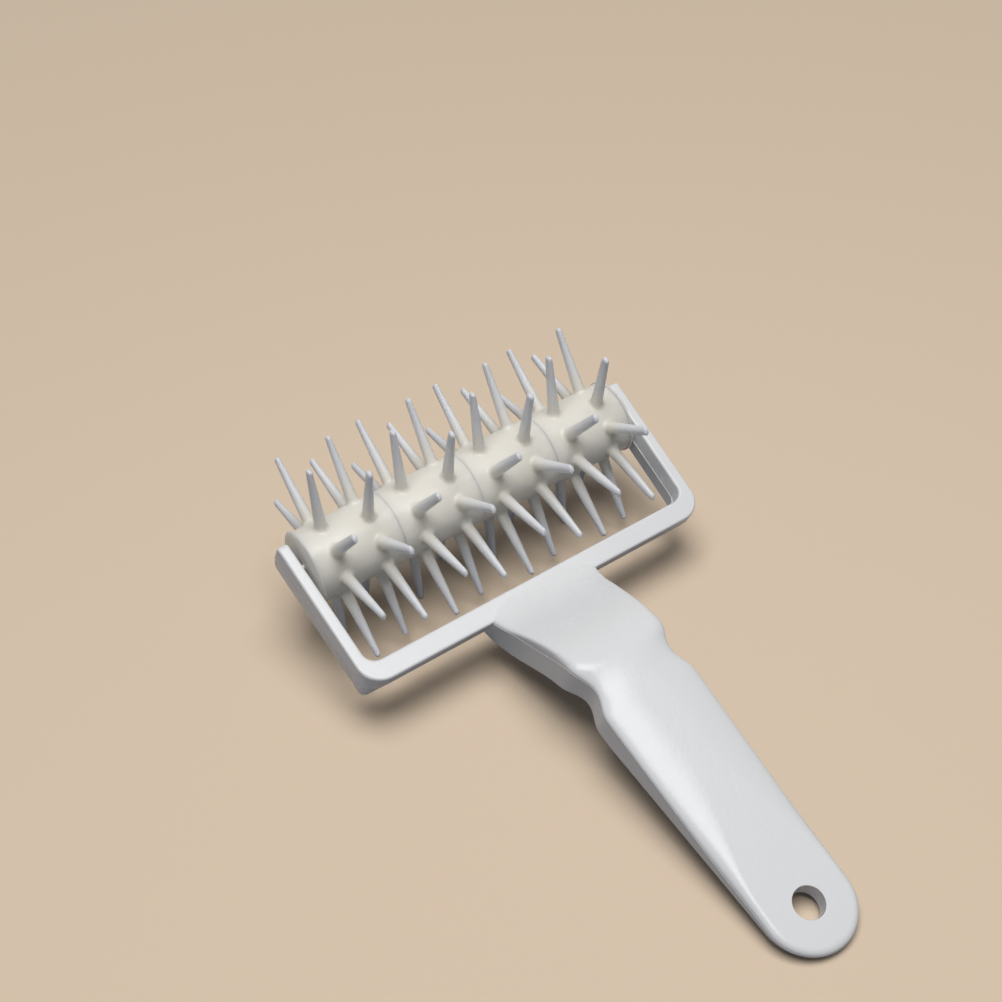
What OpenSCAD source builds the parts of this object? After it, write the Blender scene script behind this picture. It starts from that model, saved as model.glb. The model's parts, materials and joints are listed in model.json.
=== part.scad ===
// Dough docker: a spiked roller that turns between the arms of a one-piece moulded handle.
// It is drawn as it lies on a table, on its lowest spikes and on the end of its grip.

/* [Frame] */
// Outer width of the frame across the crossbar
frame_w = 128; // [112:1:150]
// Height of the arms and of the crossbar
frame_h = 13.5; // [12:0.5:18]
// Thickness of an arm
arm_t = 4.6; // [4.2:0.1:7]
// From the roller's axis back to the outer face of the crossbar
bar_back = 46.3; // [45:0.1:60]
// Width of the crossbar
bar_w = 7.9; // [5:0.1:8.4]
// How far an arm runs on past the roller's axis
arm_past = 8; // [7:0.5:12]
// How far each arm spreads outwards on its way to the axis
arm_spread = 1.5; // [0:0.1:3]
// Outer corner radius of the frame, seen from above
corner_r = 9; // [6:0.5:12]
// Inner corner radius of the frame, seen from above
inner_r = 4; // [2.5:0.5:6]
// Rounding of the frame's long edges
edge_r = 1.2; // [0.6:0.1:1.6]
// How far the crossbar's outer face slopes in towards its underside
bar_tuck = 2.4; // [0:0.1:3]

/* [Handle] */
// Length of the sloping neck that lifts the grip
neck_run = 40.2; // [36:0.1:50]
// Height that the neck lifts the grip above the frame
neck_rise = 25.3; // [12:0.1:32]
// Width of the neck where it meets the grip
neck_w = 33.8; // [30:0.1:38]
// Extra width of the neck at the crossbar
neck_flare = 5.8; // [2:0.1:9]
// Depth of the finger waist on each side
waist_in = 2.7; // [1:0.1:4]
// Length of the finger waist
waist_run = 19; // [14:0.5:26]
// From the roller's axis back to the middle of the waist
waist_back = 84.3; // [82:0.1:96]
// From the roller's axis back to the middle of the hang hole
hole_back = 165.4; // [150:0.1:190]
// Width of the grip's round end
tip_w = 30.2; // [24:0.1:34]
// Thickness of the grip behind the waist
grip_t = 15.9; // [12:0.1:20]
// Thickness of the grip at its end
tip_t = 4.5; // [4.2:0.1:7]
// Rise of the grip's top towards its end, in degrees
grip_lift = 4.2; // [0:0.1:8]
// Height of the grip's crown above its moulding line
crown_h = 2.9; // [2:0.1:3.2]
// Height of the neck's crown above its moulding line
neck_crown_h = 1.4; // [0.8:0.1:2.4]
// Diameter of the hang hole
hole_d = 9.6; // [6:0.1:12]
// Bevel at the rims of the hang hole
hole_bevel = 0.5; // [0.2:0.1:0.8]

/* [Roller] */
// Diameter of a segment's barrel
hub_d = 24.2; // [20:0.1:26]
// Wall of a segment's barrel
hub_wall = 2.5; // [2:0.1:3.5]
// Thickness of the web inside a segment
web_t = 2.4; // [1.6:0.1:3]
// Wall of the sleeve round the axle inside a segment
sleeve_wall = 1.7; // [1.2:0.1:2.2]
// How far the sleeve stays clear of the plugs at the segment's ends
sleeve_back = 0.5; // [0.3:0.1:1]
// Circle through the tips of the spikes, as a diameter
tip_circle = 69.8; // [60:0.1:71]
// Number of spikes in one ring
ring_spikes = 8; // [6:1:9]
// Diameter of a spike at its root
spike_root_d = 3.9; // [3:0.1:4.6]
// Diameter of a spike's rounded tip
spike_tip_d = 1.95; // [1.4:0.05:2.6]
// Fillet at the root of a spike
root_fillet = 1.2; // [0.5:0.1:1.6]
// Turn of the left ring of each segment, in degrees
left_turn = 17.5; // [0:0.5:45]
// Turn of the right ring of each segment, in degrees
right_turn = 35.8; // [0:0.1:45]
// Distance between the rings, as a part of the segment's length
ring_share = 0.494; // [0.4:0.002:0.56]

/* [Axle and caps] */
// Hexagon of the axle, across its flats
hex_af = 7; // [5:0.1:8]
// Diameter of the axle's round journals
journal_d = 5; // [3.5:0.1:5.4]
// Depth of the blind socket in each arm
socket_deep = 3; // [2:0.1:3]
// Thickness of an end cap's flange
cap_t = 1.6; // [1.2:0.1:2.2]
// How far a cap's flange stands proud of the barrel
cap_lip = 0.5; // [0.2:0.1:1]
// Rounding at the rim of a cap's flange
cap_round = 1.3; // [0.4:0.1:1.4]
// Depth of a cap's plug inside the barrel
plug_deep = 3; // [2:0.5:5]
// Wall of a cap's plug
plug_wall = 1.6; // [1.2:0.1:2]

/* [Clearances] */
// Radial clearance of a journal in its socket
run_fit = 0.05; // [0.02:0.01:0.1]
// Clearance of the hexagon and of the plugs in their holes, on each side
slip_fit = 0.05; // [0.02:0.01:0.2]
// Gap between a cap and the nearest point of its arm
side_gap = 0.35; // [0.2:0.05:1]
// Gap between the axle's end and the bottom of its socket
end_gap = 0.1; // [0.05:0.05:0.3]

/* [Hidden] */

white = [0.90, 0.90, 0.92];
ivory = [0.87, 0.85, 0.80];
steel = [0.72, 0.72, 0.74];

// Segments on the axle, one node for each
seg_count = 4;

// Heights in the frame's own level position, with the roller's axis at zero
top_z = frame_h / 2;
bar_front = bar_back - bar_w;
hub_r = hub_d / 2;
cap_r = hub_r + cap_lip;
spike_reach = tip_circle / 2;
spike_tip_r = spike_tip_d / 2;
bore_r = hub_r - hub_wall;

// Outward spread of an arm at distance y from the axis
function spread(y) = arm_spread * (y + bar_back) / bar_back;
function arm_inner_x(y) = frame_w / 2 - arm_t + spread(y);
function arm_outer_x(y) = frame_w / 2 + spread(y);

roller_half = arm_inner_x(-cap_r) - side_gap;
seg_len = 2 * (roller_half - cap_t) / seg_count;
ring_gap = seg_len * ring_share;
axle_half = arm_inner_x(0) + socket_deep - end_gap;

// Half a cosine wave from 0 to 1
function swell(u) = u <= 0 ? 0 : u >= 1 ? 1 : (1 - cos(180 * u)) / 2;
// A bell from 0 up to 1 and back to 0
function bell(u) = abs(u) >= 1 ? 0 : (1 + cos(180 * u)) / 2;

// Handle: the crown's height, the underside's height and the half width at distance y behind the axis
draft_in = 0.25;
ramp_start = bar_front + edge_r + draft_in;
neck_end = ramp_start + neck_run;
belly_share = 0.72;
belly = waist_back + waist_run * belly_share;
tip_r = tip_w / 2;
handle_back = hole_back + tip_r;
under_lead = 2.3;
under_start = bar_back - under_lead;
under_inset = 0.2;
function crown_z(d) = top_z + neck_rise * swell((d - ramp_start) / neck_run)
                      + max(0, d - neck_end) * tan(grip_lift);
function grip_thick(d) = grip_t - (grip_t - tip_t) * max(0, d - belly) / (handle_back - belly);
grip_under_z = crown_z(neck_end) - grip_t;
function under_z(d) = d > neck_end ? crown_z(d) - grip_thick(d)
    : -top_z + under_inset
      + (grip_under_z + top_z - under_inset) * swell((d - under_start) / (neck_end - under_start));
flat_share = 0.55;
neck_flat = waist_back - waist_run * flat_share;
flare_run = neck_flat - bar_back;
function straight_half(d) = neck_w / 2 - (neck_w - tip_w) / 2 * max(0, d - neck_flat) / (hole_back - neck_flat);
function half_w(d) = straight_half(d) + neck_flare / 2 * pow(max(0, neck_flat - d) / flare_run, 2)
                     - waist_in * bell((d - waist_back) / (waist_run / 2));

// Handle outline as seen from above: down the left side, round the end and up the right side
neck_steps = 9;
waist_steps = 16;
grip_steps = 8;
end_steps = 14;
start_lap = 0.8;
fine_share = 0.6;
handle_start = ramp_start + start_lap;
waist_start = waist_back - waist_run * fine_share;
waist_end = waist_back + waist_run * fine_share;
side_d = concat([for (i = [0 : neck_steps - 1]) handle_start + (waist_start - handle_start) * i / neck_steps],
                [for (i = [0 : waist_steps - 1]) waist_start + (waist_end - waist_start) * i / waist_steps],
                [for (i = [0 : grip_steps - 1]) waist_end + (hole_back - waist_end) * i / grip_steps]);
side_n = len(side_d);
left_side = [for (d = side_d) [-half_w(d), -d]];
round_end = [for (i = [0 : end_steps]) let (a = 180 + 180 * i / end_steps) [tip_r * cos(a), -hole_back + tip_r * sin(a)]];
right_side = [for (i = [side_n - 1 : -1 : 0]) [half_w(side_d[i]), -side_d[i]]];
outline = concat(left_side, round_end, right_side);
outline_n = len(outline);

function unit2(v) = v / norm(v);
// Outward direction at outline point i; the first and last points look straight sideways
function outward(i) = i == 0 ? [-1, 0] : i == outline_n - 1 ? [1, 0]
    : let (v = unit2(outline[i + 1] - outline[i - 1])) [v.y, -v.x];
outward_list = [for (i = [0 : outline_n - 1]) outward(i)];
// Outline point i moved inwards: a small inset follows the outward direction, a deep one keeps the sides'
// points at their own distance behind the axis, so that the ring doesn't fold at the waist
deep_inset = 4;
function moved_in(i, inset) = let (on_end = i >= side_n && i <= side_n + end_steps)
    inset < deep_inset || on_end ? outline[i] - inset * outward_list[i]
    : outline[i] - inset * [sign(outline[i].x), 0];

// Rings of the handle's skin, each [inset, height above the underside or below the crown]
under_round = 3.2;
under_dish = 0.05;
under_rings = [[8, under_dish], [3.2, 0], [1.4, 0.5], [0.45, 1.6], [0.1, under_round]];
crown_run = 34;
crown_rings = [[0, 1], [0.3, 0.72], [0.9, 0.45], [2.1, 0.2], [5, 0.07], [9, 0]];
// The crown grows from the neck to the grip
function crown_rise(d) = neck_crown_h + (crown_h - neck_crown_h) * swell((d - bar_back) / crown_run);
// The underside's rounding shrinks where the grip is thin
function under_scale(d) = min(1, (crown_z(d) - under_z(d) - crown_rise(d) - 0.3) / under_round);
function under_ring(ring) = [for (i = [0 : outline_n - 1])
    let (k = under_scale(-outline[i].y), p = moved_in(i, ring[0] * (ring[0] > under_round ? 1 : k)))
    [p.x, p.y, under_z(-p.y) + ring[1] * k]];
function crown_ring(ring) = [for (i = [0 : outline_n - 1])
    let (p = moved_in(i, ring[0]))
    [p.x, p.y, crown_z(-p.y) - ring[1] * crown_rise(-p.y)]];
handle_rings = concat([for (r = under_rings) under_ring(r)], [for (r = crown_rings) crown_ring(r)]);
handle_points = [for (ring = handle_rings) each ring];

// Walls between closed rings of n points, and strips that close the first and the last ring
function ring_walls(rings, n) = [for (j = [0 : rings - 2]) for (i = [0 : n - 1])
    let (a = j * n + i, b = j * n + (i + 1) % n) each [[a, a + n, b + n], [a, b + n, b]]];
function ring_strip(first, n, up) = [for (i = [0 : floor(n / 2) - 1])
    let (a = first + i, b = first + i + 1, c = first + n - 2 - i, d = first + n - 1 - i)
    each b == c ? [up ? [d, b, a] : [a, b, d]]
        : b > c ? []
        : up ? [[c, b, a], [d, c, a]] : [[a, b, c], [a, c, d]]];

module handle_skin() {
    polyhedron(points = handle_points,
               faces = concat(ring_walls(len(handle_rings), outline_n),
                              ring_strip(0, outline_n, false),
                              ring_strip((len(handle_rings) - 1) * outline_n, outline_n, true)));
}

// Frame: stations along the U, each [outer point, inner point, half height, tuck of the underside]
corner_steps = 7;
arm_turn = atan(arm_spread / bar_back);
corner_sweep = 90 - arm_turn;
end_round = 2;
end_steps_arm = 4;
outer_c = [frame_w / 2 + spread(corner_r - bar_back) - corner_r / cos(arm_turn), corner_r - bar_back];
inner_c = [frame_w / 2 - arm_t + spread(inner_r - bar_front) - inner_r / cos(arm_turn), inner_r - bar_front];
function polar(r, a) = [r * cos(a), r * sin(a)];
arm_stations = [for (i = [0 : end_steps_arm])
    let (a = 90 * i / end_steps_arm, y = arm_past - end_round + end_round * cos(a))
    [[arm_outer_x(y), y], [arm_inner_x(y), y], top_z - end_round + end_round * sin(a), 0]];
corner_stations = [for (i = [0 : corner_steps])
    let (u = i / corner_steps, a = arm_turn * -1 - corner_sweep * u)
    [outer_c + polar(corner_r, a), inner_c + polar(inner_r, a), top_z, bar_tuck * u]];
right_half = concat(arm_stations, corner_stations);
function mirrored(s) = [[-s[0].x, s[0].y], [-s[1].x, s[1].y], s[2], s[3]];
stations = concat([for (s = right_half) mirrored(s)],
                  [for (i = [len(right_half) - 1 : -1 : 0]) right_half[i]]);

// Section of the frame, each point [which side, inset from it, height, whether the tuck moves it]
function section(hz) = let (k = hz / top_z, r = edge_r)
    [[0, r + draft_in, hz, 0], [0, 0.3 * r + draft_in, hz - 0.3 * r * k, 0], [0, draft_in, hz - r * k, 0],
     [0, 0, 0, 0.15],
     [0, draft_in, r * k - hz, 1], [0, 0.3 * r + draft_in, 0.3 * r * k - hz, 1], [0, r + draft_in, -hz, 1],
     [1, r + draft_in, -hz, 0], [1, 0.3 * r + draft_in, 0.3 * r * k - hz, 0], [1, draft_in, r * k - hz, 0],
     [1, 0, 0, 0],
     [1, draft_in, hz - r * k, 0], [1, 0.3 * r + draft_in, hz - 0.3 * r * k, 0], [1, r + draft_in, hz, 0]];
section_n = len(section(top_z));
function station_ring(s) = let (across = unit2(s[1] - s[0]))
    [for (q = section(s[2]))
        let (from = s[q[0]], way = q[0] == 0 ? across : -across, p = from + (q[1] + q[3] * s[3]) * way)
        [p.x, p.y, q[2]]];
frame_points = [for (s = stations) each station_ring(s)];
function end_fan(first, n, flip) = [flip ? [for (i = [n - 1 : -1 : 0]) first + i] : [for (i = [0 : n - 1]) first + i]];

module frame_skin() {
    polyhedron(points = frame_points,
               faces = concat(ring_walls(len(stations), section_n),
                              end_fan(0, section_n, false),
                              end_fan((len(stations) - 1) * section_n, section_n, true)));
}

// Lying pose: the tilt at which the lowest spike and the end of the grip reach the table together
spike_turns = [for (start = [left_turn, right_turn]) for (i = [0 : ring_spikes - 1]) start + 360 * i / ring_spikes];
spike_c = spike_reach - spike_tip_r;
function spikes_low(t) = min([for (a = spike_turns) spike_c * cos(a + t)]) - spike_tip_r;
function spikes_front(t) = max([for (a = spike_turns) -spike_c * sin(a + t)]) + spike_tip_r;
function handle_low(t) = min([for (p = handle_points) p.y * sin(t) + p.z * cos(t)]);
function handle_rear(t) = min([for (p = handle_points) p.y * cos(t) - p.z * sin(t)]);
function settle(low, high, steps) = let (mid = (low + high) / 2)
    steps == 0 ? mid
    : handle_low(mid) > spikes_low(mid) ? settle(mid, high, steps - 1) : settle(low, mid, steps - 1);
lie_tilt = settle(0, 45, 16);
lie_z = -spikes_low(lie_tilt);
lie_y = -(spikes_front(lie_tilt) + handle_rear(lie_tilt)) / 2;

module lying() {
    translate([0, lie_y, lie_z])
        rotate([lie_tilt, 0, 0])
            children();
}

// A rod along X, centred on the origin
module rod_x(length, r, fn) {
    rotate([0, 90, 0])
        cylinder(h = length, r = r, center = true, $fn = fn);
}

// A hexagon rod along X, one flat up
module hex_x(length, across) {
    rotate([0, 90, 0])
        cylinder(h = length, r = across / 2 / cos(30), center = true, $fn = 6);
}

module hang_hole() {
    hole_len = 4 * tip_t;
    mid_z = crown_z(hole_back) - grip_thick(hole_back) / 2;
    top_off = (crown_z(hole_back) - mid_z) * cos(grip_lift);
    translate([0, -hole_back, mid_z])
        rotate([-grip_lift, 0, 0]) {
            cylinder(h = hole_len, d = hole_d, center = true, $fn = 64);
            translate([0, 0, top_off - hole_bevel])
                cylinder(h = 2 * hole_bevel, d1 = hole_d, d2 = hole_d + 4 * hole_bevel, $fn = 64);
        }
}

module handle_frame() {
    socket_r = journal_d / 2 + run_fit;
    socket_span = 2 * (arm_inner_x(0) + socket_deep);
    color(white)
        lying()
            difference() {
                union() {
                    frame_skin();
                    handle_skin();
                }
                rod_x(socket_span, socket_r, 48);
                hang_hole();
            }
}

// Hexagon rod that keys the segments together, with a round journal at each end
module axle() {
    color(steel)
        lying() {
            hex_x(2 * roller_half, hex_af);
            rod_x(2 * axle_half, journal_d / 2, 48);
        }
}

// One tapered spike along Z: root fillet, straight taper and a ball tip
module spike() {
    root_r = spike_root_d / 2;
    root_z = hub_r;
    sunk = 0.9;
    fillet_steps = 4;
    tip_steps = 5;
    fillet = [for (i = [0 : fillet_steps]) let (a = 90 * i / fillet_steps)
        [root_r + root_fillet * (1 - sin(a)), root_z + root_fillet * (1 - cos(a))]];
    tip = [for (i = [0 : tip_steps]) let (a = 90 * i / tip_steps)
        [spike_tip_r * cos(a), spike_c + spike_tip_r * sin(a)]];
    rotate_extrude($fn = 32)
        polygon(concat([[0, root_z - sunk], [root_r + root_fillet, root_z - sunk]], fillet, tip));
}

// Cored barrel about X: shell, middle web and sleeve round the axle
module barrel() {
    half = seg_len / 2;
    sleeve_r = hex_af / 2 / cos(30) + sleeve_wall;
    sleeve_half = half - plug_deep - sleeve_back;
    rotate([0, 90, 0])
        rotate_extrude($fn = 96)
            polygon([[0, -sleeve_half], [sleeve_r, -sleeve_half], [sleeve_r, -web_t / 2],
                     [bore_r, -web_t / 2], [bore_r, -half], [hub_r, -half],
                     [hub_r, half], [bore_r, half], [bore_r, web_t / 2],
                     [sleeve_r, web_t / 2], [sleeve_r, sleeve_half], [0, sleeve_half]]);
}

module roller_segment(index) {
    place = (index - (seg_count + 1) / 2) * seg_len;
    color(ivory)
        lying()
            translate([place, 0, 0])
                difference() {
                    union() {
                        barrel();
                        for (ring = [[-ring_gap / 2, left_turn], [ring_gap / 2, right_turn]])
                            for (i = [0 : ring_spikes - 1])
                                translate([ring[0], 0, 0])
                                    rotate([ring[1] + 360 * i / ring_spikes, 0, 0])
                                        spike();
                    }
                    hex_x(seg_len + 1, hex_af + 2 * slip_fit);
                }
}

module roller_segment_1() { roller_segment(1); }
module roller_segment_2() { roller_segment(2); }
module roller_segment_3() { roller_segment(3); }
module roller_segment_4() { roller_segment(4); }

// Cap that closes one end of the roller: a flange with a hollow plug
module end_cap(side) {
    plug_r = bore_r - slip_fit;
    rim_steps = 5;
    rim = [for (i = [0 : rim_steps]) let (a = 90 * i / rim_steps)
        [cap_r - cap_round * (1 - cos(a)), roller_half - cap_round * (1 - sin(a))]];
    color(ivory)
        lying()
            rotate([0, 90 * side, 0])
                difference() {
                    rotate_extrude($fn = 96)
                        polygon(concat([[0, roller_half - cap_t], [plug_r - plug_wall, roller_half - cap_t],
                                        [plug_r - plug_wall, roller_half - cap_t - plug_deep],
                                        [plug_r, roller_half - cap_t - plug_deep],
                                        [plug_r, roller_half - cap_t], [cap_r, roller_half - cap_t]],
                                       rim, [[0, roller_half]]));
                    rotate([0, 90, 0])
                        hex_x(3 * roller_half, hex_af + 2 * slip_fit);
                }
}

module end_cap_left() { end_cap(-1); }
module end_cap_right() { end_cap(1); }

handle_frame();
axle();
roller_segment_1();
roller_segment_2();
roller_segment_3();
roller_segment_4();
end_cap_left();
end_cap_right();
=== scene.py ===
"""Looks of the dough docker: a spiked roller between the arms of a one-piece moulded handle.

Shapes are worked out in millimetres in the handle's level position, with the roller's axis
at the origin, and then laid down on the table as the part lies there. X runs along the roller,
Y away from the handle and Z up. The handle's shape goes by d, the distance behind the axis.
"""

import json
import math

import bmesh
import bpy
from mathutils import Euler, Matrix, Vector


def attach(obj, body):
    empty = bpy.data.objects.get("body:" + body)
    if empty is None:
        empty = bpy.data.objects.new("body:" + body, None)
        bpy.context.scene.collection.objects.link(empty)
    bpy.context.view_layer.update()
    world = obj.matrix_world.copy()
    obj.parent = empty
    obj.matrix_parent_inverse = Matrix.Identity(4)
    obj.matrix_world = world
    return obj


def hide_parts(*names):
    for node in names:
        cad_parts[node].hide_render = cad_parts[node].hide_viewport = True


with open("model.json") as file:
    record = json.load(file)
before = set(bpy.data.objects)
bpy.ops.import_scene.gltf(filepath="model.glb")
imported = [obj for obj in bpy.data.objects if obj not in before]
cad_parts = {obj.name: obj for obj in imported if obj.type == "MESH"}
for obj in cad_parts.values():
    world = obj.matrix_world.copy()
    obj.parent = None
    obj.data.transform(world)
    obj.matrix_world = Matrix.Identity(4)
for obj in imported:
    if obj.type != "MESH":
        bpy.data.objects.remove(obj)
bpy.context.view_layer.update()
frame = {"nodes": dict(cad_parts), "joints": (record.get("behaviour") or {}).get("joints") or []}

scene = bpy.context.scene

# The camera stands where the photograph was taken from.
LENS_MM, SENSOR_MM, CLIP_START = 57.924, 36.0, 0.01
camera_data = bpy.data.cameras.new("camera")
camera_data.lens = LENS_MM
camera_data.sensor_width = SENSOR_MM
camera_data.clip_start = CLIP_START
camera = bpy.data.objects.new("camera", camera_data)
camera.location = (-0.190129, -0.249685, 0.397493)
camera.rotation_euler = Euler((0.791789, 0.037955, -0.600664))
scene.collection.objects.link(camera)
scene.camera = camera

# From the handle's level millimetres to the part as it lies on the table.
MM = 0.001
LIE_TILT = math.radians(21.916)
AXIS = Vector(frame["joints"][0]["pos_m"])
LYING = Matrix.Translation(AXIS) @ Matrix.Rotation(LIE_TILT, 4, "X") @ Matrix.Scale(MM, 4)

# Sizes in millimetres. Most are those of the part's source. The frame's corners and edges, and
# the widths of neck and grip, follow the photograph more closely here.
FRAME_W, FRAME_H, ARM_T = 128.0, 13.5, 4.6
BAR_BACK, BAR_W, BAR_TUCK = 46.3, 7.9, 2.6
ARM_PAST, ARM_SPREAD, ARM_END_R = 8.0, 1.5, 2.0
CORNER_R, LOW_CORNER_R, INNER_R, EDGE_R, DRAFT = 8.5, 2.5, 4.0, 0.9, 0.4
NECK_LEAD, NECK_RUN, NECK_RISE, NECK_W, NECK_FLARE = 1.45, 40.2, 25.3, 33.4, 5.8
WAIST_IN, WAIST_RUN, WAIST_BACK = 2.7, 19.0, 84.3
HOLE_BACK, HOLE_R, TIP_R = 165.4, 4.8, 14.5
GRIP_T, TIP_T, GRIP_LIFT = 15.9, 4.5, math.radians(4.2)
HUB_R, HUB_WALL, WEB_T, SLEEVE_WALL, SLEEVE_BACK = 12.1, 2.5, 2.4, 1.7, 0.5
SEGMENTS, RING_SHARE, RING_SPIKES, RING_TURNS = 4, 0.494, 8, (17.5, 35.8)
TIP_REACH, SPIKE_ROOT_R, SPIKE_TIP_R, ROOT_FILLET = 34.9, 1.95, 0.975, 1.2
HEX_AF, HEX_GAP, SOCKET_R, SOCKET_DEEP = 7.0, 0.05, 2.55, 3.0
CAP_T, CAP_LIP, PLUG_DEEP, PLUG_WALL, SIDE_GAP = 1.6, 0.5, 3.0, 1.6, 0.35

TOP_Z = FRAME_H / 2
BAR_FRONT = BAR_BACK - BAR_W
CAP_R = HUB_R + CAP_LIP
BORE_R = HUB_R - HUB_WALL
HEX_R = (HEX_AF / 2 + HEX_GAP) / math.cos(math.pi / 6)


def spread(y):
    """How far an arm stands outwards at y."""
    return ARM_SPREAD * (y + BAR_BACK) / BAR_BACK


ROLLER_HALF = FRAME_W / 2 - ARM_T + spread(-CAP_R) - SIDE_GAP
SEG_LEN = 2 * (ROLLER_HALF - CAP_T) / SEGMENTS
RING_HALF = SEG_LEN * RING_SHARE / 2


def swell(u):
    """Half a cosine wave from 0 to 1."""
    return (1 - math.cos(math.pi * min(max(u, 0), 1))) / 2


def bell(u):
    """Up from 0 to 1 and back, for u from -1 to 1."""
    return (1 + math.cos(math.pi * u)) / 2 if abs(u) < 1 else 0


def ease(d, span):
    """From 0 to 1 as d goes through a span, which is a start and a length."""
    start, run = span
    return swell((d - start) / run)


def quarter(steps):
    """Angles from 0 to a quarter turn."""
    return [math.pi / 2 * i / steps for i in range(steps + 1)]


# ---------------------------------------------------------------- mesh helpers

MERGE = 1e-4
SHARP = math.radians(34)


def new_object(name, data):
    made = bpy.data.objects.new(name, data)
    scene.collection.objects.link(made)
    return made


def object_from(name, bm):
    """An object of that bmesh, which is used up."""
    mesh = bpy.data.meshes.new(name)
    bm.to_mesh(mesh)
    bm.free()
    return new_object(name, mesh)


def add_loop(bm, points):
    """A closed ring of vertices and edges."""
    verts = [bm.verts.new(p) for p in points]
    edges = [bm.edges.new(pair) for pair in zip(verts, verts[1:] + verts[:1])]
    return verts, edges


def loft(bm, loops):
    """Walls through closed rings of points, and the vertices and edges of each ring."""
    rings = [add_loop(bm, points) for points in loops]
    for (_, first), (_, second) in zip(rings, rings[1:]):
        bmesh.ops.bridge_loops(bm, edges=first + second)
    return rings


def chain_edges(bm, verts):
    """The edges that join each vertex to the next."""
    return [bm.edges.get(pair) for pair in zip(verts, verts[1:])]


def lathe(profile, axis, steps):
    """A closed solid turned from a profile of (radius, place along the axis)."""
    bm = bmesh.new()
    across = Vector((0, 0, 1)) if axis == "X" else Vector((1, 0, 0))
    along = Vector((1, 0, 0)) if axis == "X" else Vector((0, 0, 1))
    verts = [bm.verts.new(r * across + s * along) for r, s in profile]
    edges = [bm.edges.new(pair) for pair in zip(verts, verts[1:])]
    if profile[0][0] > 0 and profile[-1][0] > 0:
        edges.append(bm.edges.new((verts[-1], verts[0])))
    bmesh.ops.spin(bm, geom=verts + edges, cent=(0, 0, 0), axis=along, dvec=(0, 0, 0),
                   angle=2 * math.pi, steps=steps, use_merge=True, use_duplicate=False)
    bmesh.ops.remove_doubles(bm, verts=bm.verts, dist=MERGE)
    bmesh.ops.recalc_face_normals(bm, faces=bm.faces)
    return bm


def arc(centre, radius, start, end, steps):
    """Points (radius, place) of a profile on a round between two angles in degrees."""
    turns = [math.radians(start + (end - start) * i / steps) for i in range(steps + 1)]
    return [(centre[0] + radius * math.cos(a), centre[1] + radius * math.sin(a)) for a in turns]


def rod(length, radius, sides):
    """A rod along X for cutting round and hexagon holes."""
    bm = bmesh.new()
    bmesh.ops.create_cone(bm, cap_ends=True, cap_tris=False, segments=sides, radius1=radius,
                          radius2=radius, depth=length,
                          matrix=Matrix.Rotation(math.pi / 2, 4, "Y"))
    return bm


def combine(target, tool, operation):
    """Cuts tool from target or fuses it on, and removes the tool."""
    change = target.modifiers.new("combine", "BOOLEAN")
    change.operation, change.solver, change.object = operation, "EXACT", tool
    bpy.context.view_layer.update()
    result = target.evaluated_get(bpy.context.evaluated_depsgraph_get())
    mesh = bpy.data.meshes.new_from_object(result)
    target.modifiers.clear()
    old = target.data
    target.data = mesh
    bpy.data.meshes.remove(old)
    bpy.data.objects.remove(tool)
    return target


def finish_piece(piece, body, nodes, material, place=None):
    """Lays a piece down, shades it, parents it under its body's empty, and hides the nodes that
    it replaces.
    """
    bm = bmesh.new()
    bm.from_mesh(piece.data)
    bmesh.ops.remove_doubles(bm, verts=bm.verts, dist=MERGE)
    bm.transform(LYING @ (place or Matrix.Identity(4)))
    for face in bm.faces:
        face.smooth = True
    for edge in bm.edges:
        edge.smooth = edge.calc_face_angle(0) < SHARP
    bm.to_mesh(piece.data)
    bm.free()
    piece.data.materials.clear()
    piece.data.materials.append(material)
    weighted = piece.modifiers.new("even shading", "WEIGHTED_NORMAL")
    weighted.keep_sharp = True
    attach(piece, body)
    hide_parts(*nodes)


# ------------------------------------------------------------ material helpers


class Value:
    """An output of a shader's nodes that takes part in arithmetic."""

    def __init__(self, finish, socket):
        self.finish, self.socket = finish, socket

    def math(self, operation, first, second):
        return self.finish.node("Math", {"operation": operation}, {0: first, 1: second})

    def __add__(self, other):
        return self.math("ADD", self, other)

    def __radd__(self, other):
        return self.math("ADD", other, self)

    def __sub__(self, other):
        return self.math("SUBTRACT", self, other)

    def __rsub__(self, other):
        return self.math("SUBTRACT", other, self)

    def __mul__(self, other):
        return self.math("MULTIPLY", self, other)

    def __rmul__(self, other):
        return self.math("MULTIPLY", other, self)

    def __truediv__(self, other):
        return self.math("DIVIDE", self, other)

    def __rtruediv__(self, other):
        return self.math("DIVIDE", other, self)


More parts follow.
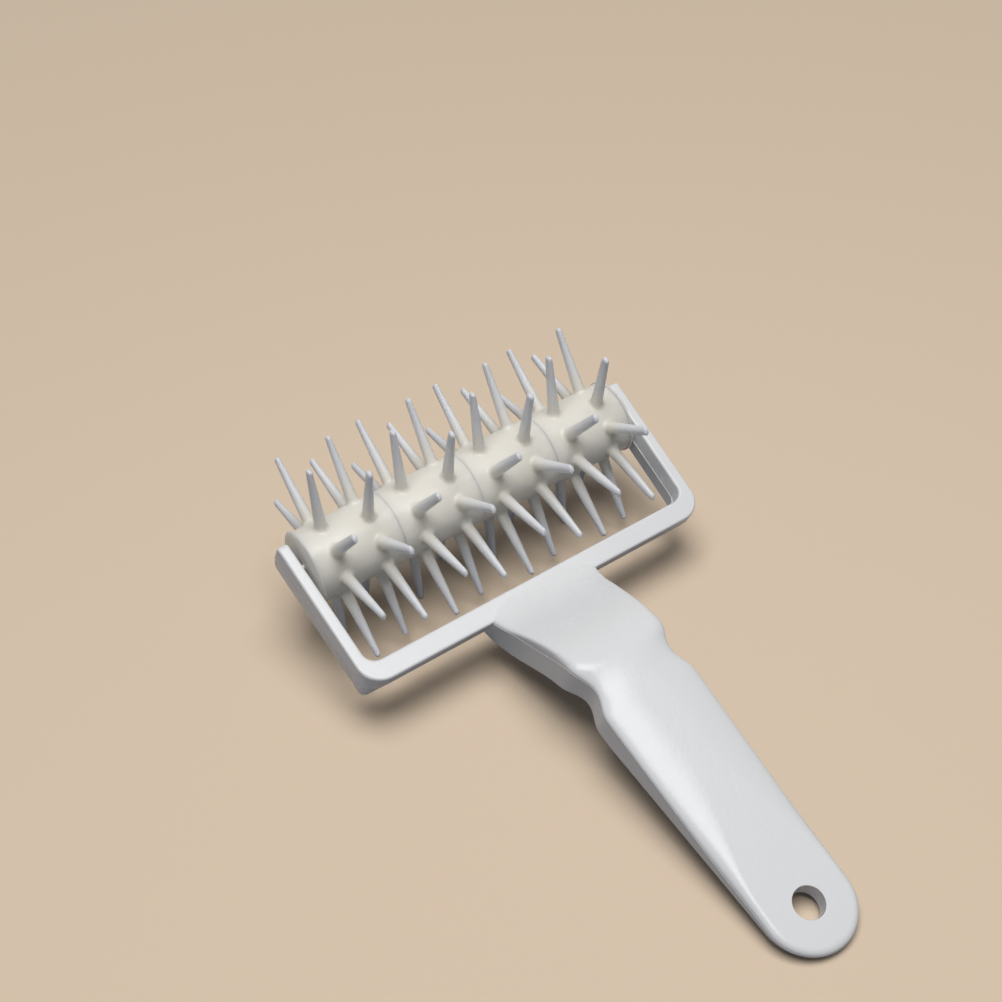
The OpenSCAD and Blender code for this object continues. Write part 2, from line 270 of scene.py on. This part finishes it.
class Finish:
    """The shader of a material or of the world, under construction."""

    def __init__(self, owner):
        owner.use_nodes = True
        self.owner, self.tree = owner, owner.node_tree
        self.tree.nodes.clear()

    def node(self, kind, settings=None, sockets=None, output=0):
        """Adds a node: its settings first, then the values or links of its sockets."""
        made = self.tree.nodes.new("ShaderNode" + kind)
        for key, value in (settings or {}).items():
            if key == "stops":
                ramp = made.color_ramp.elements
                while len(ramp) < len(value):
                    ramp.new(0.5)
                for stop, (place, colour) in zip(ramp, value):
                    stop.position = place
                    stop.color = colour
            else:
                setattr(made, key, value)
        for key, value in (sockets or {}).items():
            if isinstance(value, Value):
                self.tree.links.new(value.socket, made.inputs[key])
            else:
                made.inputs[key].default_value = value
        return Value(self, made.outputs[output]) if made.outputs else None

    def place(self):
        """The point on the object, in metres."""
        return self.node("TexCoord", output="Object")

    def noise(self, scale, detail=2.0, roughness=0.5, stretch=None):
        """A noise, stretched by a scale for each direction where one is given."""
        place = self.place()
        if stretch:
            place = self.node("Mapping", {}, {"Vector": place, "Scale": stretch})
        return self.node("TexNoise", {}, {"Vector": place, "Scale": scale, "Detail": detail,
                                          "Roughness": roughness})

    def vector(self, operation, first, second):
        """Two vectors subtracted or multiplied, one direction at a time."""
        return self.node("VectorMath", {"operation": operation}, {0: first, 1: second})

    def length(self, vector):
        return self.node("VectorMath", {"operation": "LENGTH"}, {0: vector}, output="Value")

    def clamped_sum(self, first, second):
        """A sum that stays between 0 and 1."""
        return self.node("Math", {"use_clamp": True}, {0: first, 1: second})

    def mix(self, factor, first, second):
        """A colour between two others. The colours' sockets of this node are 6 and 7, and its
        colour's output is 2."""
        return self.node("Mix", {"data_type": "RGBA"}, {0: factor, 6: first, 7: second}, output=2)

    def blend(self, factor, first, second):
        """A shader between two others."""
        return self.node("MixShader", {}, {0: factor, 1: first, 2: second})

    def ramp(self, factor, stops):
        return self.node("ValToRGB", {"stops": stops}, {"Fac": factor})

    def bump(self, height, distance, strength):
        return self.node("Bump", {}, {"Height": height, "Distance": distance,
                                      "Strength": strength})

    def seen(self):
        """1 for the camera's rays, also by way of gloss or glass, and 0 for the light's."""
        camera_ray, glossy_ray, glass_ray = [
            self.node("LightPath", output=kind)
            for kind in ("Is Camera Ray", "Is Glossy Ray", "Is Transmission Ray")]
        return self.clamped_sum(camera_ray + glossy_ray, glass_ray)

    def surface(self, shader, output="OutputMaterial"):
        self.node(output, {}, {"Surface": shader})
        return self.owner


def material(name):
    return Finish(bpy.data.materials.new(name))


def rgb(r, g, b):
    return (r, g, b, 1.0)


def moulded_white():
    """Cool white moulded plastic: even gloss, faint flow marks and a fine orange peel."""
    f = material("moulded_white")
    cloud = f.noise(scale=22.0, detail=3.0)
    flow = f.noise(scale=1.0, stretch=(60.0, 14.0, 60.0))
    colour = f.mix(cloud, rgb(0.785, 0.79, 0.80), rgb(0.82, 0.823, 0.83))
    colour = f.mix(flow * 0.25, colour, rgb(0.755, 0.762, 0.778))
    peel = f.noise(scale=700.0)
    scuff = f.noise(scale=160.0, detail=5.0, roughness=0.65)
    gloss = 0.20 + 0.05 * cloud + 0.08 * scuff
    return f.surface(f.node("BsdfPrincipled", {}, {
        "Base Color": colour, "Roughness": gloss, "IOR": 1.49, "Specular IOR Level": 0.4,
        "Normal": f.bump(peel, distance=0.0004, strength=0.12)}))


def moulded_ivory():
    """Warm ivory plastic that turns cool and pale towards the tips of the spikes. That pale, cool
    colour up the spikes is partly the plastic's own tone and partly painted light, lightened to
    stand in for the light that passes through the thin spikes to their shaded sides.
    """
    f = material("moulded_ivory")
    offset = f.vector("SUBTRACT", f.place(), tuple(AXIS))
    reach = f.length(f.vector("MULTIPLY", offset, (0.0, 1 / MM, 1 / MM)))
    outwards = (reach - HUB_R) / (TIP_REACH - HUB_R)
    cloud = f.noise(scale=90.0, detail=3.0)
    # Painted light: the pale, cool stops at 0.5 and 1.0 are lighter than the plastic's own tone,
    # so that the spikes' shaded sides look lit by light coming through the plastic.
    colour = f.ramp(outwards + 0.10 * (cloud - 0.5),
                    [(0.0, rgb(0.82, 0.79, 0.72)), (0.16, rgb(0.83, 0.81, 0.765)),
                     (0.5, rgb(0.84, 0.85, 0.88)), (1.0, rgb(0.76, 0.785, 0.86))])
    mottle = f.noise(scale=260.0, detail=4.0, roughness=0.6)
    colour = f.mix(0.3 * mottle, colour, rgb(0.80, 0.765, 0.68))
    gloss = 0.28 + 0.12 * cloud
    return f.surface(f.node("BsdfPrincipled", {}, {
        "Base Color": colour, "Roughness": gloss, "IOR": 1.52, "Subsurface Weight": 0.6,
        "Subsurface Scale": 0.0035, "Subsurface Radius": (1.0, 0.95, 0.8),
        "Normal": f.bump(f.noise(scale=900.0), distance=0.0003, strength=0.10)}))


def drawn_steel():
    """Drawn steel with fine lines along the axle."""
    f = material("drawn_steel")
    lines = f.noise(scale=1.0, detail=3.0, stretch=(40.0, 4000.0, 4000.0))
    return f.surface(f.node("BsdfPrincipled", {}, {
        "Base Color": f.mix(lines, rgb(0.50, 0.50, 0.52), rgb(0.68, 0.68, 0.70)),
        "Metallic": 1.0, "Roughness": 0.26 + 0.16 * lines,
        "Normal": f.bump(lines, distance=0.0001, strength=0.2)}))


WHITE, IVORY, STEEL = moulded_white(), moulded_ivory(), drawn_steel()

# ------------------------------------------------------------------ the handle

NECK_START = BAR_FRONT + NECK_LEAD
NECK_END = NECK_START + NECK_RUN
NECK_POWER = 0.92
FLAT_SHARE, BELLY_SHARE, FINE_SHARE = 0.55, 0.72, 0.6
NECK_FLAT = WAIST_BACK - WAIST_RUN * FLAT_SHARE
BELLY = WAIST_BACK + WAIST_RUN * BELLY_SHARE
HANDLE_BACK = HOLE_BACK + TIP_R

# The top's height above the moulding line, what is added half way up the neck, and what is
# taken off towards the end.
CROWN_H = 2.9
CROWN_NECK, CROWN_NECK_MID, CROWN_NECK_HALF = 2.6, 64.5, 13.5
CROWN_END, CROWN_END_SPAN = 1.3, (138, 34)

# The top's rounding: its squareness and the spans in which that goes up and down again, the
# part of its width that stays tight by the line, and its width by the hang hole and before it.
POWER, POWER_UP, POWER_DOWN = 1.5, 1.7, 1.2
POWER_UP_SPAN, POWER_DOWN_SPAN = (50, 9), (62, 26)
TIGHT, LOOSE_SPAN = 0.16, (64, 24)
REACH, REACH_MORE, REACH_LEAD, REACH_RUN = 2.2, 10.3, 4, 50

# The underside starts UNDER_RISE above the crossbar's foot. Its rounding leaves at least
# SIDE_MIN of the wall below the moulding line, and the flat starts UNDER_FLAT from the outline.
UNDER_START, UNDER_END = BAR_BACK - 1.0, NECK_END + 5.6
UNDER_RISE, UNDER_ROUND, UNDER_INSET, UNDER_FLAT = 0.2, 3.2, 0.1, 8.0
SIDE_MIN = 0.3

# An inset deeper than DEEP_START goes straight across the handle by DEEP_RUN more.
DEEP_START, DEEP_RUN = 1.5, 2.5

# Rings at the moulding line, as (inset, height above the line), with a fine ledge over it, and
# rings of the rounding above, as parts of a quarter turn.
LEDGE = 0.06
SEAM_RINGS = ((0.1, -0.9), (0.0, -0.2), (-0.025, -0.12), (-0.025, -0.02), (LEDGE, 0.04))
CROWN_RINGS = (0.04, 0.09, 0.15, 0.23, 0.32, 0.41, 0.5, 0.59, 0.68, 0.77, 0.88, 1.0)
UNDER_STEPS, END_STEPS, HOLE_STEPS = 6, 36, 64


def crown_z(d):
    """Height of the handle's top at distance d behind the roller's axis."""
    neck = max(0.0, (d - NECK_START) / NECK_RUN) ** NECK_POWER
    return TOP_Z + NECK_RISE * swell(neck) + max(0.0, d - NECK_END) * math.tan(GRIP_LIFT)


def crown_h(d):
    """Height of the top above the moulding line, which runs lower half way up the neck and
    higher round the end."""
    return (CROWN_H + CROWN_NECK * bell((d - CROWN_NECK_MID) / CROWN_NECK_HALF)
            - CROWN_END * ease(d, CROWN_END_SPAN))


def grip_thick(d):
    """Thickness of the grip, which tapers from its belly to its end."""
    return GRIP_T - (GRIP_T - TIP_T) * max(0.0, d - BELLY) / (HANDLE_BACK - BELLY)


def under_z(d):
    """Height of the underside."""
    if d > UNDER_END:
        return crown_z(d) - grip_thick(d)
    low, high = UNDER_RISE - TOP_Z, crown_z(UNDER_END) - GRIP_T
    return low + (high - low) * swell((d - UNDER_START) / (UNDER_END - UNDER_START))


def half_w(d):
    """Half the width seen from above: flared at the crossbar, drawn in at the finger waist."""
    taper = max(0.0, d - NECK_FLAT) / (HOLE_BACK - NECK_FLAT)
    straight = NECK_W / 2 - (NECK_W / 2 - TIP_R) * taper
    flare = NECK_FLARE / 2 * (max(0.0, NECK_FLAT - d) / (NECK_FLAT - BAR_BACK)) ** 2
    return straight + flare - WAIST_IN * bell((d - WAIST_BACK) / (WAIST_RUN / 2))


def stretch(start, end, steps):
    """Even steps from start up to end, without end itself."""
    return [start + (end - start) * i / steps for i in range(steps)]


# The outline's points stand closest round the waist.
FINE_START = WAIST_BACK - WAIST_RUN * FINE_SHARE
FINE_END = WAIST_BACK + WAIST_RUN * FINE_SHARE
SIDE_D = (stretch(NECK_START, FINE_START, 20) + stretch(FINE_START, FINE_END, 30)
          + stretch(FINE_END, HOLE_BACK, 24))
SIDE_N = len(SIDE_D)


def plan_outline():
    """The handle seen from above: down the left side, round the end, up the right side."""
    left = [Vector((-half_w(d), -d)) for d in SIDE_D]
    turns = [math.pi * (1 + i / END_STEPS) for i in range(END_STEPS + 1)]
    end = [Vector((TIP_R * math.cos(a), -HOLE_BACK + TIP_R * math.sin(a))) for a in turns]
    return left + end + [Vector((-p.x, p.y)) for p in reversed(left)]


OUTLINE = plan_outline()
OUTLINE_N = len(OUTLINE)


def outward(i):
    """The way out of the handle at outline point i."""
    if i in (0, OUTLINE_N - 1):
        return Vector((-1.0 if i == 0 else 1.0, 0.0))
    along = (OUTLINE[i + 1] - OUTLINE[i - 1]).normalized()
    return Vector((along.y, -along.x))


OUTWARD = [outward(i) for i in range(OUTLINE_N)]


def moved_in(i, inset):
    """Outline point i moved inwards. A deep inset keeps the sides' own distance behind the
    axis."""
    on_end = SIDE_N <= i <= SIDE_N + END_STEPS
    side = Vector((math.copysign(1.0, OUTLINE[i].x), 0.0))
    deep = 0.0 if on_end else ease(inset, (DEEP_START, DEEP_RUN))
    return OUTLINE[i] - inset * (OUTWARD[i] * (1 - deep) + side * deep)


def skin_ring(inset_of, height_of):
    """A ring of the handle's skin from the inset and the height as functions of d."""
    points = []
    for i in range(OUTLINE_N):
        p = moved_in(i, inset_of(-OUTLINE[i].y))
        points.append(Vector((p.x, p.y, height_of(-p.y))))
    return points


def under_scale(d):
    """The underside's rounding shrinks where the side is too low for it."""
    return min(1.0, (crown_z(d) - under_z(d) - crown_h(d) - SIDE_MIN) / UNDER_ROUND)


def under_ring(turn):
    """The rounding of the underside, from flat at 0 to upright at a quarter turn."""
    inset = UNDER_INSET + (UNDER_ROUND - UNDER_INSET) * (1 - math.sin(turn))
    rise = UNDER_ROUND * (1 - math.cos(turn))
    return skin_ring(lambda d: inset * under_scale(d),
                     lambda d: under_z(d) + rise * under_scale(d))


def seam_ring(inset, rise):
    """A ring at the moulding line."""
    return skin_ring(lambda d: inset, lambda d: crown_z(d) - crown_h(d) + rise)


def crown_power(d):
    """How square the top's rounding is: leaning at the crossbar, steep on the neck, and nearly
    round on the grip."""
    return POWER + POWER_UP * ease(d, POWER_UP_SPAN) - POWER_DOWN * ease(d, POWER_DOWN_SPAN)


def crown_tight(d):
    """Part of its full width that the rounding keeps next to the line. It is small up the neck,
    and whole on the grip."""
    return TIGHT + (1 - TIGHT) * ease(d, LOOSE_SPAN)


def crown_reach(d):
    """Width of the rounding, which narrows towards the hang hole."""
    return REACH + REACH_MORE * swell((HOLE_BACK - REACH_LEAD - d) / REACH_RUN)


def crown_ring(turn):
    """The crowned top, from upright at 0 to level at a quarter turn."""

    def inset(d):
        part = 1 - math.cos(turn) ** (2 / crown_power(d))
        tight = crown_tight(d)
        return LEDGE + crown_reach(d) * part * (tight + (1 - tight) * part ** 2)

    def height(d):
        return crown_z(d) - crown_h(d) * (1 - math.sin(turn) ** (2 / crown_power(d)))

    return skin_ring(inset, height)


def close_face(bm, ring):
    """Closes one side of the handle with strips across its width."""
    half = len(ring) // 2
    left, right = ring[:half], ring[::-1][:half]
    bmesh.ops.bridge_loops(bm, edges=chain_edges(bm, left) + chain_edges(bm, right))


def handle_body():
    """The neck and the grip."""
    rings = [skin_ring(lambda d: UNDER_FLAT, under_z)]
    rings += [under_ring(turn) for turn in quarter(UNDER_STEPS)]
    rings += [seam_ring(inset, rise) for inset, rise in SEAM_RINGS]
    rings += [crown_ring(math.pi / 2 * part) for part in CROWN_RINGS]
    bm = bmesh.new()
    skin = loft(bm, rings)
    close_face(bm, skin[-1][0])
    close_face(bm, skin[0][0])
    bmesh.ops.recalc_face_normals(bm, faces=bm.faces)
    return object_from("handle_frame_moulding", bm)


def hang_hole():
    """The drill for the hang hole, square to the grip's top. It widens at the top and at the
    underside, which rounds both rims."""
    rim, low_rim, below, flare, deep = 0.2, 0.3, 0.6, 2.0, 3 * TIP_T
    under = (crown_z(HOLE_BACK) - under_z(HOLE_BACK)) * math.cos(GRIP_LIFT)
    turns = quarter(5)
    profile = [(0.0, -deep), (HOLE_R + flare, -deep), (HOLE_R + low_rim, -under - below)]
    profile += [(HOLE_R + low_rim * (1 - math.sin(t)), -under + low_rim * (1 - math.cos(t)))
                for t in turns]
    profile += [(HOLE_R + rim * (1 - math.cos(t)), rim * (math.sin(t) - 1)) for t in turns]
    profile += [(HOLE_R + rim, deep), (0.0, deep)]
    bm = lathe(profile, "Z", HOLE_STEPS)
    bm.transform(Matrix.Translation((0, -HOLE_BACK, crown_z(HOLE_BACK)))
                 @ Matrix.Rotation(-GRIP_LIFT, 4, "X"))
    return object_from("hang hole", bm)


# ------------------------------------------------------------------- the frame

# The frame is swept along stations, each (outer point, inner point, half height, shift of the
# outer wall's foot, end inset), from the arm's end and round the corner to the crossbar.
ARM_TURN = math.atan(ARM_SPREAD / BAR_BACK)
END_EDGE, END_TURNS, CORNER_TURNS, EDGE_TURNS, SOCKET_STEPS = 0.9, 10, 32, 5, 48
TINY = 1e-6

# The raised moulding line round the frame: how far it stands out on the outer and inner walls,
# half its width at the top and at the foot, and the inset of the wall beside it.
OUTER_RIDGE, INNER_RIDGE = 0.08, 0.24
RIDGE_TOP, RIDGE_FOOT, RIDGE_SIDE = 0.14, 0.2, 0.03


def foot_reach(turn):
    """How far the foot of the outer wall is from the centre of the top's corner. The foot's own
    corner is tighter than the top's, and along the crossbar the foot is tucked in."""
    low = Vector((CORNER_R - LOW_CORNER_R, CORNER_R - BAR_TUCK - LOW_CORNER_R))
    way = Vector((math.cos(turn), math.sin(turn)))
    middle = low.dot(way)
    inside = middle ** 2 - low.length_squared + LOW_CORNER_R ** 2
    if inside >= 0:
        hit = (middle + math.sqrt(inside)) * way
        if hit.x >= low.x and hit.y >= low.y:
            return hit.length
    return min(CORNER_R / max(way.x, TINY), (CORNER_R - BAR_TUCK) / max(way.y, TINY))


def arm_end_station(turn):
    """A station on the rounded end of the arm."""
    outer_x, inner_x = FRAME_W / 2, FRAME_W / 2 - ARM_T
    y = ARM_PAST - ARM_END_R * (1 - math.cos(turn))
    fall = max(0.0, ARM_END_R ** 2 - (y - ARM_PAST + ARM_END_R) ** 2)
    over = max(0.0, y - ARM_PAST + END_EDGE)
    inset = END_EDGE - math.sqrt(max(0.0, END_EDGE ** 2 - over ** 2))
    return (Vector((outer_x + spread(y), y)), Vector((inner_x + spread(y), y)),
            TOP_Z - ARM_END_R + math.sqrt(fall), Vector((0.0, 0.0)), inset)


def corner_centre(wall_x, wall_y, radius):
    """Centre of the frame's corner between an arm's wall and a wall of the crossbar."""
    y = radius - wall_y
    return Vector((wall_x + spread(y) - radius / math.cos(ARM_TURN), y))


def frame_stations():
    """The stations of the frame's right side."""
    stations = [arm_end_station(turn) for turn in quarter(END_TURNS)]
    outer_c = corner_centre(FRAME_W / 2, BAR_BACK, CORNER_R)
    inner_c = corner_centre(FRAME_W / 2 - ARM_T, BAR_FRONT, INNER_R)
    for i in range(CORNER_TURNS + 1):
        turn = ARM_TURN + (math.pi / 2 - ARM_TURN) * i / CORNER_TURNS
        way = Vector((math.cos(turn), -math.sin(turn)))
        foot = (foot_reach(turn) - CORNER_R) * way
        stations.append((outer_c + CORNER_R * way, inner_c + INNER_R * way, TOP_Z, foot, 0.0))
    return stations


def section(half_height, ridge):
    """Half a section of the frame, from the top down: (inset, height)."""
    top = [(DRAFT + EDGE_R * (1 - math.sin(a)), half_height - EDGE_R * (1 - math.cos(a)))
           for a in quarter(EDGE_TURNS)]
    middle = [(RIDGE_SIDE, RIDGE_FOOT + ridge), (-ridge, RIDGE_TOP),
              (-ridge, -RIDGE_TOP), (RIDGE_SIDE, -RIDGE_FOOT - ridge)]
    return top + middle + [(q, -z) for q, z in reversed(top)]


def station_ring(station, side):
    """A ring of the frame's skin, on the left for side -1 and on the right for side 1."""
    outer, inner, half_height, foot, end_inset = station
    across = (inner - outer).normalized()
    points = []
    for q, z in section(half_height, OUTER_RIDGE):
        p = outer + (q + end_inset) * across + (TOP_Z - z) / FRAME_H * foot
        points.append(Vector((side * p.x, p.y, z)))
    for q, z in reversed(section(half_height, INNER_RIDGE)):
        p = inner - (q + end_inset) * across
        points.append(Vector((side * p.x, p.y, z)))
    return points


def frame_body():
    """The two arms and the crossbar."""
    stations = frame_stations()
    rings = [station_ring(s, -1) for s in stations]
    rings += [station_ring(s, 1) for s in reversed(stations)]
    bm = bmesh.new()
    swept = loft(bm, rings)
    for verts, _ in (swept[0], swept[-1]):
        bmesh.ops.contextual_create(bm, geom=verts)
    bmesh.ops.recalc_face_normals(bm, faces=bm.faces)
    return object_from("frame_body", bm)


moulding = combine(handle_body(), frame_body(), "UNION")
socket_span = 2 * (FRAME_W / 2 - ARM_T + spread(0) + SOCKET_DEEP)
combine(moulding, object_from("sockets", rod(socket_span, SOCKET_R, SOCKET_STEPS)), "DIFFERENCE")
combine(moulding, hang_hole(), "DIFFERENCE")
finish_piece(moulding, "frame", ["handle_frame"], WHITE)

# ------------------------------------------------------------------ the roller

# Profiles start at CORE_R, inside the hexagon hole, which is cut last and runs CUT_PAST longer.
CORE_R, CUT_PAST = 1.0, 2
BARREL_STEPS, SPIKE_STEPS, SPIKE_ROUND_STEPS, FACE_STEPS = 128, 32, 6, 10
SEGMENT_LIP, CAP_INNER_LIP = 0.11, 0.25
LIP_START, LIP_STEPS, SEGMENT_LIP_STEPS = -60, 3, 4

# The roots of the spikes start SUNK below the barrel's skin. The tips are narrower along the
# roller and wider round it.
SUNK, ROOT_SLACK, ROOT_POWER = 0.9, 0.01, 1.5
TIP_NARROWER, TIP_WIDER = 0.10, 0.55

# The crown of a cap's outer face: its height, and its width from the rim inwards.
CAP_ROUND, CAP_CROWN = 1.3, 4.5


def hexagon_cut(piece, length):
    """Cuts the hexagon hole for the axle through a piece of that length."""
    tool = object_from("hexagon", rod(length + CUT_PAST, HEX_R, 6))
    return combine(piece, tool, "DIFFERENCE")


def one_spike():
    """A spike that stands up along Z, with a root that runs out on the barrel."""
    root_r = SPIKE_ROOT_R + ROOT_FILLET
    profile = [(0.0, HUB_R - SUNK), (root_r, HUB_R - SUNK)]
    profile += [(SPIKE_ROOT_R + ROOT_FILLET * (1 - math.sin(a)),
                 HUB_R + ROOT_FILLET * (1 - math.cos(a))) for a in quarter(SPIKE_ROUND_STEPS)]
    tip_z = TIP_REACH - SPIKE_TIP_R
    profile += arc((0.0, tip_z), SPIKE_TIP_R, 0, 90, SPIKE_ROUND_STEPS)[:-1]
    profile.append((0.0, TIP_REACH))
    bm = lathe(profile, "Z", SPIKE_STEPS)
    for v in bm.verts:
        if HUB_R - ROOT_SLACK <= v.co.z < HUB_R + ROOT_FILLET:
            fade = (1 - (v.co.z - HUB_R) / ROOT_FILLET) ** ROOT_POWER
            v.co.z -= fade * (HUB_R - math.sqrt(HUB_R ** 2 - v.co.y ** 2))
        up = min(max((v.co.z - HUB_R) / (TIP_REACH - HUB_R), 0.0), 1.0)
        v.co.x *= 1 - TIP_NARROWER * up
        v.co.y *= 1 + TIP_WIDER * up
    mesh = bpy.data.meshes.new("spike")
    bm.to_mesh(mesh)
    bm.free()
    return mesh


def spikes_body():
    """The spikes of one segment, in two rings that are turned against one another."""
    spike = one_spike()
    bm = bmesh.new()
    for side, turn in zip((-1, 1), RING_TURNS):
        ring_place = Matrix.Translation((side * RING_HALF, 0, 0))
        for i in range(RING_SPIKES):
            before = set(bm.verts)
            bm.from_mesh(spike)
            angle = math.radians(turn + 360 * i / RING_SPIKES)
            bmesh.ops.transform(bm, verts=[v for v in bm.verts if v not in before],
                                matrix=ring_place @ Matrix.Rotation(angle, 4, "X"))
    bpy.data.meshes.remove(spike)
    return object_from("spikes", bm)


def segment_body():
    """One roller segment: a hollow barrel with a web and a sleeve inside, and its spikes."""
    half, lip = SEG_LEN / 2, SEGMENT_LIP
    sleeve_r = HEX_AF / 2 / math.cos(math.pi / 6) + SLEEVE_WALL
    sleeve_half = half - PLUG_DEEP - SLEEVE_BACK
    profile = [(CORE_R, -sleeve_half), (sleeve_r, -sleeve_half), (sleeve_r, -WEB_T / 2),
               (BORE_R, -WEB_T / 2), (BORE_R, -half), (HUB_R - lip, -half)]
    profile += arc((HUB_R - lip, -half + lip), lip, LIP_START, 0, LIP_STEPS)
    profile += arc((HUB_R - lip, half - lip), lip, 0, 90, SEGMENT_LIP_STEPS)
    profile += [(BORE_R, half), (BORE_R, WEB_T / 2), (sleeve_r, WEB_T / 2),
                (sleeve_r, sleeve_half), (CORE_R, sleeve_half)]
    barrel = object_from("segment", lathe(profile, "X", BARREL_STEPS))
    combine(barrel, spikes_body(), "UNION")
    return hexagon_cut(barrel, SEG_LEN)


def cap_body(side):
    """An end cap: a flange with a crowned face and a hollow plug."""
    inner, outer, lip = ROLLER_HALF - CAP_T, ROLLER_HALF, CAP_INNER_LIP
    plug_r = BORE_R - HEX_GAP
    hollow_r = plug_r - PLUG_WALL
    profile = [(CORE_R, inner), (hollow_r, inner), (hollow_r, inner - PLUG_DEEP),
               (plug_r, inner - PLUG_DEEP), (plug_r, inner), (CAP_R - lip, inner)]
    profile += arc((CAP_R - lip, inner + lip), lip, LIP_START, 0, LIP_STEPS)
    profile += [(CAP_R - CAP_CROWN * (1 - math.cos(a)), outer - CAP_ROUND * (1 - math.sin(a)))
                for a in quarter(FACE_STEPS)]
    profile.append((CORE_R, outer))
    bm = lathe(profile, "X", BARREL_STEPS)
    if side < 0:
        bmesh.ops.rotate(bm, cent=(0, 0, 0), matrix=Matrix.Rotation(math.pi, 3, "Z"),
                         verts=bm.verts)
    cap = object_from("cap_moulding_" + ("left" if side < 0 else "right"), bm)
    return hexagon_cut(cap, 2 * ROLLER_HALF)


segment = segment_body()
for index in range(SEGMENTS):
    copy = new_object(f"segment_moulding_{index + 1}", segment.data.copy())
    middle = (index - (SEGMENTS - 1) / 2) * SEG_LEN
    finish_piece(copy, "roller", [f"roller_segment_{index + 1}"], IVORY,
                 place=Matrix.Translation((middle, 0, 0)))
bpy.data.objects.remove(segment)

for side, node in ((-1, "end_cap_left"), (1, "end_cap_right")):
    finish_piece(cap_body(side), "roller", [node], IVORY)

# The axle keeps its own solid, and shows as steel in the gaps beside the caps.
axle = frame["nodes"]["axle"]
axle.data.materials.clear()
axle.data.materials.append(STEEL)

# ------------------------------------------------------------- floor and light

BACKDROP = rgb(0.64, 0.525, 0.40)
FLOOR_SEEN, FLOOR_UNSEEN, FLOOR_SIZE = rgb(0.78, 0.625, 0.472), rgb(0.19, 0.21, 0.25), 6.0
FADE_RATE, FADE_OFFSET = 1.25, -0.32
SKY, SKY_LEVEL = rgb(0.88, 0.94, 1.0), 0.11
LAMP_PLACE, LAMP_AIM = Vector((-0.08, -0.10, 1.50)), Vector((0.0, -0.04, 0.0))
LAMP_SIZE, LAMP_POWER = 0.95, 19.2


def floor_material():
    """A plain pale floor that runs out into the backdrop's colour. It is clear from below, so
    that the underside can be seen."""
    f = material("floor")
    near = f.node("BsdfDiffuse", {}, {"Color": FLOOR_SEEN})
    far = f.node("Emission", {}, {"Color": BACKDROP})
    fade = f.clamped_sum(FADE_RATE * f.length(f.place()), FADE_OFFSET)
    unseen = f.node("BsdfDiffuse", {}, {"Color": FLOOR_UNSEEN})
    top = f.blend(f.seen(), unseen, f.blend(fade, near, far))
    below = f.node("NewGeometry", output="Backfacing")
    return f.surface(f.blend(below, top, f.node("BsdfTransparent")))


def studio_world():
    """Soft cool light from all round, and the backdrop's colour where the world is seen."""
    f = Finish(bpy.data.worlds.new("studio"))
    light = f.node("Background", {}, {"Color": SKY, "Strength": SKY_LEVEL})
    wall = f.node("Background", {}, {"Color": BACKDROP, "Strength": 1.0})
    return f.surface(f.blend(f.seen(), light, wall), "OutputWorld")


floor_bm = bmesh.new()
bmesh.ops.create_grid(floor_bm, x_segments=1, y_segments=1, size=FLOOR_SIZE)
floor = object_from("floor", floor_bm)
floor.data.materials.append(floor_material())

scene.world = studio_world()

lamp_data = bpy.data.lights.new("overhead", "AREA")
lamp_data.shape, lamp_data.size, lamp_data.energy = "SQUARE", LAMP_SIZE, LAMP_POWER
lamp = new_object("overhead", lamp_data)
lamp.location = LAMP_PLACE
lamp.rotation_euler = (LAMP_AIM - LAMP_PLACE).to_track_quat("-Z", "Y").to_euler()

scene.view_settings.view_transform = "Standard"
